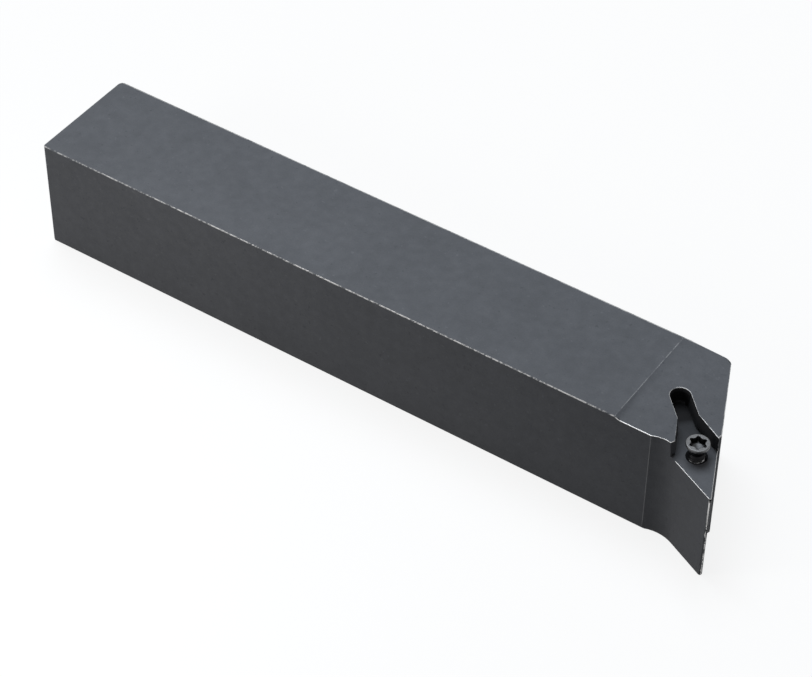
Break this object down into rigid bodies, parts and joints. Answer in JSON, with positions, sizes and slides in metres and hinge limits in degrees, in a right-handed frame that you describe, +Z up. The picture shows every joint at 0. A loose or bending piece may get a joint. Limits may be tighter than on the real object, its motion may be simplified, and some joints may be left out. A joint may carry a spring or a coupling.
{
  "type": "turning tool holder",
  "caption": "Square-shank lathe tool holder with an angled head, an open diamond-shaped insert seat, a relief slot and a small socket clamping screw.",
  "frame": {"origin": "on the flat bottom face, in the middle of the shank's width and of the 125 mm tool length", "axes": "+X along the shank towards the cutting head, +Z up towards the cutting edge, the insert's corner on the -Y side"},
  "size_m": [0.124, 0.0236, 0.02],
  "materials": {
    "holder_steel": "satin black oxide with bare edges",
    "screw_steel": "satin"
  },
  "bodies": {
    "holder": {"holder_body": "holder_steel"},
    "screw": {"clamp_screw": "screw_steel"}
  },
  "joints": [
    {"name": "screw_travel", "type": "slide", "parent": "holder", "child": "screw", "axis": [0, 0, 1], "range_m": [-0.0015, 0.0035]}
  ]
}
